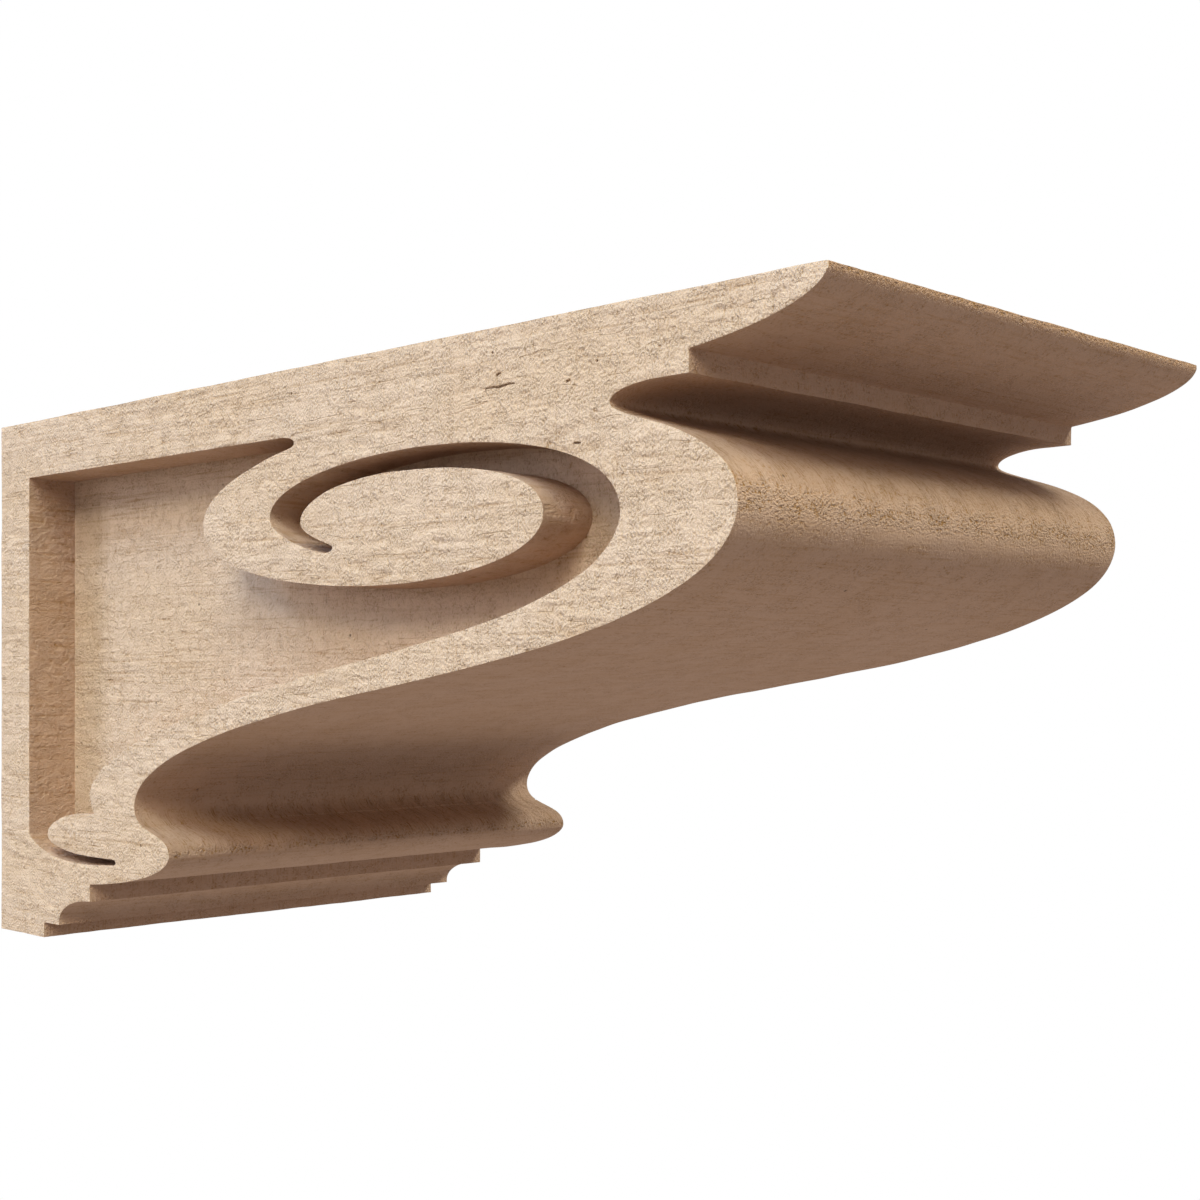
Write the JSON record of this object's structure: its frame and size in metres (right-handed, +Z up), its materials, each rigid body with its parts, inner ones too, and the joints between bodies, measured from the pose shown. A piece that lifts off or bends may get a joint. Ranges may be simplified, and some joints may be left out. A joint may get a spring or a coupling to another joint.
{
  "type": "scroll corbel",
  "caption": "Rough-sawn timber corbel with an ogee underside and an elliptical scroll carved in relief on each side.",
  "frame": {"origin": "centre of the flat wall face", "axes": "+Y out of the wall face, into the wall; the corbel reaches out along -Y; +X across its width; +Z up"},
  "size_m": [0.1524, 0.3048, 0.1524],
  "materials": {
    "timber": "rough-sawn, unfinished"
  },
  "bodies": {
    "root": {"corbel": "timber"}
  },
  "joints": []
}
